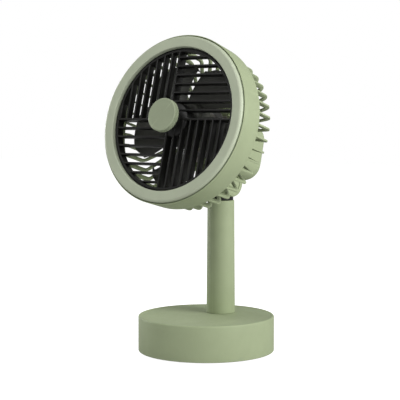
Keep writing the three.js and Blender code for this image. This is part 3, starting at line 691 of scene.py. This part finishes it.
def blade_point(turn_by, along, across_it, side):
    """A point of one blade: along it to the tip, across its chord, and to either skin."""
    length = BLADE_TIP - HUB_RADIUS + BLADE_ROOT_SINK
    radius = HUB_RADIUS - BLADE_ROOT_SINK + length * along
    width = BLADE_ROOT_WIDTH + BLADE_FLARE * along
    trim = TIP_TRIM * max(0, along - TIP_TRIM_START) / 0.2 * (2 * across_it) ** 4
    reach = radius * (1 - trim)
    angle = math.radians(turn_by + BLADE_LEAD - BLADE_SWEEP * along + width * across_it)
    climb = BLADE_CLIMB * (1 - 0.25 * along) * math.sin(across_it * CHORD_CURVE) / CHORD_SPAN
    thickness = BLADE_THICKNESS * (1 - 0.65 * (2 * across_it) ** 4)
    y = BLADE_MIDDLE - climb + thickness * side
    return (reach * math.cos(angle), y, reach * math.sin(angle))


def blade(bm, turn_by, along_steps=16, across_steps=22):
    """One swept, pitched blade that thins towards its edges."""
    skins = []
    for side in (-0.5, 0.5):
        skins.append([
            [bm.verts.new(blade_point(turn_by, i / along_steps, j / across_steps - 0.5, side))
             for j in range(across_steps + 1)]
            for i in range(along_steps + 1)
        ])
    for grid in skins:
        for i in range(along_steps):
            for j in range(across_steps):
                bm.faces.new((grid[i][j], grid[i + 1][j], grid[i + 1][j + 1], grid[i][j + 1]))
    low, high = skins
    border = [(i, 0) for i in range(along_steps)]
    border += [(along_steps, j) for j in range(across_steps)]
    border += [(i, across_steps) for i in range(along_steps, 0, -1)]
    border += [(0, j) for j in range(across_steps, 0, -1)]
    for here, there in zip(border, border[1:] + border[:1]):
        bm.faces.new((low[here[0]][here[1]], low[there[0]][there[1]],
                      high[there[0]][there[1]], high[here[0]][here[1]]))


def impeller():
    """The cup-shaped hub with its rounded front edge, and the blades."""
    front = extent("impeller", HEAD)[0]
    bore = HUB_RADIUS - HUB_WALL
    bm = turned([
        (2, front), (8, front),
        *arc(HUB_RADIUS - HUB_EDGE, front + HUB_EDGE, HUB_EDGE, -90, 0, 8),
        (HUB_RADIUS, 33.6), (HUB_RADIUS - 0.4, 34), (bore, 34), (bore, 18),
        (7, 18), (7, 27), (2, 27),
    ], 96)
    for i in range(BLADE_COUNT):
        blade(bm, 360 / BLADE_COUNT * i + BLADE_START)
    finished("fan_impeller", bm, HEAD, "charcoal_plastic", "rotor", ["impeller"], smooth=50)


def rotor_cup():
    """The motor's drawn steel cup, with a rolled edge at its open end."""
    front, back, radius = extent("rotor_cup", HEAD)
    edge = 1.4
    wall = 1.2
    rolled = radius + 0.25
    profile = [
        (2, front), *arc(radius - edge, front + edge, edge, -90, 0, 5),
        (radius, back - 1.6), (rolled, back - 1.3), (rolled, back - 0.4), (radius, back),
        (radius - wall, back), (radius - wall, front + wall), (2, front + wall),
    ]
    finished("motor_cup", turned(profile, 96), HEAD, "steel", "rotor", ["rotor_cup"])


# ---------------------------------------------------------- rear cage, housing

RIB_COUNT = 43
RIB_START = math.radians(2.5)  # the first rib's rise above level
RIB_THICKNESS = 1.8
RIB_DEPTH = 4.8
CAGE_CORNER = 7
CAGE_HUB = 32.5


def rib_outline():
    """The outline of one rib: back along the cage's side, then in to its hub."""
    front, back, radius = extent("rear_grille", HEAD)
    rear_radius = radius - 0.6
    inner_radius = rear_radius - RIB_DEPTH
    inner_back = back - RIB_DEPTH
    return [
        (radius - 1, front + 1), (radius - 0.2, front + 1),
        *arc(rear_radius - CAGE_CORNER, back - CAGE_CORNER, CAGE_CORNER, 0, 90, 9),
        (CAGE_HUB - 1.5, back), (CAGE_HUB - 1.5, inner_back),
        *arc(inner_radius - 2, inner_back - 2, 2, 90, 0, 5),
        (inner_radius, front + 9),
    ]


def rear_cage():
    """Thin L-shaped ribs between a hoop inside the barrel and a hub under the housing."""
    front, back, radius = extent("rear_grille", HEAD)
    outline = rib_outline()
    ribs = bmesh.new()
    for i in range(RIB_COUNT):
        around = 2 * math.pi * i / RIB_COUNT - RIB_START
        slab(ribs, outline, RIB_THICKNESS, Matrix.Rotation(around, 4, "Y"))
    finished("rear_ribs", ribs, HEAD, "sage_plastic", "head", ["rear_grille"],
             bevel=0.35, smooth=40)
    hoops = turned([
        (radius - 1.9, front), (radius, front), (radius, front + 5.6), (radius - 0.4, front + 6),
        (radius - 1.5, front + 6), (radius - 1.9, front + 5.6),
    ], 192)
    turn(hoops, [
        (8, back - 3.2), (CAGE_HUB, back - 3.2), (CAGE_HUB, back - 0.4),
        (CAGE_HUB - 0.4, back), (8, back),
    ], 128)
    finished("rear_hoops", hoops, HEAD, "sage_plastic", "head")


HOUSING_HALF_WIDTH = 33
HOUSING_TOP = 23
HOUSING_BOTTOM = -34.8
HOUSING_SIDE_CORNER = 17
HOUSING_REAR_CORNER = 7
HOUSING_WALL = 2.4


def housing_layer(bm, inset, y):
    """One ring of vertices round the housing, pulled in by an inset."""
    corner = HOUSING_SIDE_CORNER - inset
    side = HOUSING_HALF_WIDTH - HOUSING_SIDE_CORNER
    high = HOUSING_TOP - HOUSING_SIDE_CORNER
    low = HOUSING_BOTTOM + HOUSING_SIDE_CORNER
    outline = [
        *arc(side, high, corner, 0, 90, 16), *arc(-side, high, corner, 90, 180, 16),
        *arc(-side, low, corner, 180, 270, 16), *arc(side, low, corner, 270, 360, 16),
    ]
    return [bm.verts.new((x, y, z)) for x, z in outline]


def housing():
    """The motor housing: a rounded block with a soft rear edge, hollow behind the cage."""
    front, back, _ = extent("motor_housing", HEAD)
    corner = HOUSING_REAR_CORNER
    inner = arc(-corner, back - corner, corner - HOUSING_WALL, 90, 0, 6)
    outer = arc(-corner, back - corner, corner, 0, 90, 12)
    middle = (HOUSING_TOP + HOUSING_BOTTOM) / 2
    bm = bmesh.new()
    layers = [
        [bm.verts.new((0, back - HOUSING_WALL, middle))],
        *(housing_layer(bm, -x, y) for x, y in inner),
        housing_layer(bm, HOUSING_WALL, front),
        housing_layer(bm, 0.5, front),
        housing_layer(bm, 0, front + 0.5),
        *(housing_layer(bm, -x, y) for x, y in outer),
        [bm.verts.new((0, back, middle))],
    ]
    for first, second in zip(layers, layers[1:]):
        bridge(bm, first, second)
    finished("rear_housing", bm, HEAD, "sage_plastic", "head", ["motor_housing"])


EAR_RADIUS = 14.7
EAR_OUTER = 17  # distances along the pin are from the fan's middle plane
EAR_INNER = 8
EAR_TOP = HOUSING_BOTTOM + 1.2
EAR_FLARE = 0.8
RECESS_RADIUS = 9.35
RECESS_DEPTH = 1.9
CAP_RADIUS = 9
CAP_INNER = 15.5
CAP_OUTER = 16.75
CAP_EDGE = 0.4


def facing(side):
    """Turns a shape that points to the fan's left towards the given side."""
    return Matrix.Rotation(0 if side > 0 else math.pi, 4, "X")


def hinge_ears():
    """Two ears under the housing, sunk into its wall, each with a recess for a pin cap."""
    outline = [
        *arc(HINGE.y, HINGE.z, EAR_RADIUS, 180, 360, 28),
        (HINGE.y + EAR_RADIUS + EAR_FLARE, EAR_TOP), (HINGE.y - EAR_RADIUS - EAR_FLARE, EAR_TOP),
    ]
    upright_plate = Matrix.Rotation(math.pi / 2, 4, "Y") @ Matrix.Rotation(math.pi / 2, 4, "Z")
    for side, name in ((-1, "hinge_ear_right"), (1, "hinge_ear_left")):
        middle = Matrix.Translation((side * (EAR_OUTER + EAR_INNER) / 2, 0, 0))
        ear = bmesh.new()
        slab(ear, outline, EAR_OUTER - EAR_INNER, middle @ upright_plate)
        made = finished(name, ear, HEAD, "sage_plastic", "head", bevel=1.6, smooth=40)
        recess = turned([
            (0, -RECESS_DEPTH), (RECESS_RADIUS, -RECESS_DEPTH), (RECESS_RADIUS, 4), (0, 4),
        ], 64)
        outer_face = across((side * EAR_OUTER, HINGE.y, HINGE.z), HEAD)
        cut(made, recess, outer_face @ facing(side))


def hinge_caps():
    """Round covers over the pin's ends, slightly crowned round a shallow dimple."""
    for side, node in ((-1, "hinge_cap_1"), (1, "hinge_cap_2")):
        cap = turned([
            (0, 16.3), (4.5, 16.5), (5, CAP_OUTER),
            *arc(8.6, 16.4, CAP_EDGE, 90, 0, 3), (CAP_RADIUS, CAP_INNER), (0, CAP_INNER),
        ], 72)
        finished(f"{node}_cover", cap, across(HINGE, HEAD) @ facing(side), "sage_plastic",
                 "head", [node])


# --------------------------------------------------------- carried-over pieces

def dress_frame():
    """Gives every CAD node that still shows the material of its record's slot."""
    slots = {part["node"]: part["material_slot"] for part in frame["record"]["subparts"]}
    for name, node in frame["nodes"].items():
        if node.hide_render:
            continue
        node.data.materials.clear()
        node.data.materials.append(MATERIALS[slots[name]])
        node.data.shade_smooth()
        node.data.set_sharp_from_angle(angle=math.radians(SMOOTH_ANGLE))


# ---------------------------------------------------------- camera, light, floor

CAMERA_AZIMUTH = 36.8  # angles in degrees
CAMERA_DISTANCE = 1.182  # distances in metres
CAMERA_HEIGHT = 0.2354
CAMERA_DIP = 4.07
CAMERA_AIM_LEFT = 0.3
CAMERA_LENS = 107  # lens and sensor in millimetres
CAMERA_SENSOR = 36
LIGHT_TARGET = Vector((0, 0, 0.17))
FLOOR_HALF_SIZE = 4.0
FLOOR_DROP = 0.2 * MM


def add_camera():
    """The photograph's camera: to the fan's left, a little above its middle."""
    data = bpy.data.cameras.new("camera")
    data.lens = CAMERA_LENS
    data.sensor_width = CAMERA_SENSOR
    camera = bpy.data.objects.new("camera", data)
    azimuth = math.radians(CAMERA_AZIMUTH)
    camera.location = (CAMERA_DISTANCE * math.sin(azimuth),
                       -CAMERA_DISTANCE * math.cos(azimuth), CAMERA_HEIGHT)
    camera.rotation_euler = (math.radians(90 - CAMERA_DIP), 0,
                             math.radians(CAMERA_AZIMUTH + CAMERA_AIM_LEFT))
    bpy.context.scene.collection.objects.link(camera)
    bpy.context.scene.camera = camera


def softbox(name, azimuth, elevation, distance, size, power):
    """A square area light aimed at the fan's middle."""
    data = bpy.data.lights.new(name, "AREA")
    data.size = size
    data.energy = power
    light = bpy.data.objects.new(name, data)
    a = math.radians(azimuth)
    e = math.radians(elevation)
    offset = Vector((math.sin(a) * math.cos(e), -math.cos(a) * math.cos(e), math.sin(e)))
    light.location = LIGHT_TARGET + offset * distance
    light.rotation_euler = (-offset).to_track_quat("-Z", "Y").to_euler()
    bpy.context.scene.collection.objects.link(light)


def add_lights():
    """A broad key from the picture's right, a high front fill and a rim from its left."""
    softbox("key", azimuth=96, elevation=22, distance=1.5, size=0.9, power=18)
    softbox("front_fill", azimuth=5, elevation=50, distance=1.6, size=0.9, power=7.5)
    softbox("rim", azimuth=-95, elevation=10, distance=1.6, size=0.5, power=7.5)


def add_dome():
    """A dome that lights the fan more from low down, and that shows plain white itself."""
    world = bpy.data.worlds.new("studio")
    bpy.context.scene.world = world
    world.use_nodes = True
    tree = world.node_tree
    background = tree.nodes["Background"]
    background.inputs["Color"].default_value = (1, 1, 1, 1)
    place = add(tree, "ShaderNodeTexCoord")
    split = add(tree, "ShaderNodeSeparateXYZ")
    tree.links.new(place.outputs["Generated"], split.inputs["Vector"])
    dome = ranged(tree, split.outputs["Z"], low=0.55, high=0.3, start=0.0, end=0.62)
    seen = add(tree, "ShaderNodeLightPath")
    strength = add(tree, "ShaderNodeMath", operation="MAXIMUM")
    tree.links.new(seen.outputs["Is Camera Ray"], strength.inputs[0])
    tree.links.new(dome, strength.inputs[1])
    tree.links.new(strength.outputs[0], background.inputs["Strength"])


def add_floor():
    """A wide floor with a faint paper grain, just clear of the foot, that shows as white."""
    bm = bmesh.new()
    corners = [bm.verts.new((x * FLOOR_HALF_SIZE, y * FLOOR_HALF_SIZE, -FLOOR_DROP))
               for x, y in ((-1, -1), (1, -1), (1, 1), (-1, 1))]
    bm.faces.new(corners)
    mesh = bpy.data.meshes.new("floor")
    bm.to_mesh(mesh)
    bm.free()
    floor = bpy.data.objects.new("floor", mesh)
    bpy.context.scene.collection.objects.link(floor)
    paper = moulded("studio_paper", (0.55, 0.55, 0.55), 0.9, wear=0, tone=0.005)
    tree = paper.node_tree
    shader = tree.nodes["Principled BSDF"]
    shader.inputs["Emission Color"].default_value = (1, 1, 1, 1)
    seen = add(tree, "ShaderNodeLightPath")
    glow = ranged(tree, seen.outputs["Is Camera Ray"], low=0.0, high=0.9, start=0, end=1)
    tree.links.new(glow, shader.inputs["Emission Strength"])
    floor.data.materials.append(paper)


# -------------------------------------------------------------------- the scene

bpy.context.scene.view_settings.view_transform = "Standard"
add_camera()
add_lights()
add_dome()
add_floor()

base_drum()
foot()
column()
neck()
front_ring()
barrel()
front_grille()
knob()
impeller()
rotor_cup()
rear_cage()
housing()
hinge_ears()
hinge_caps()
dress_frame()
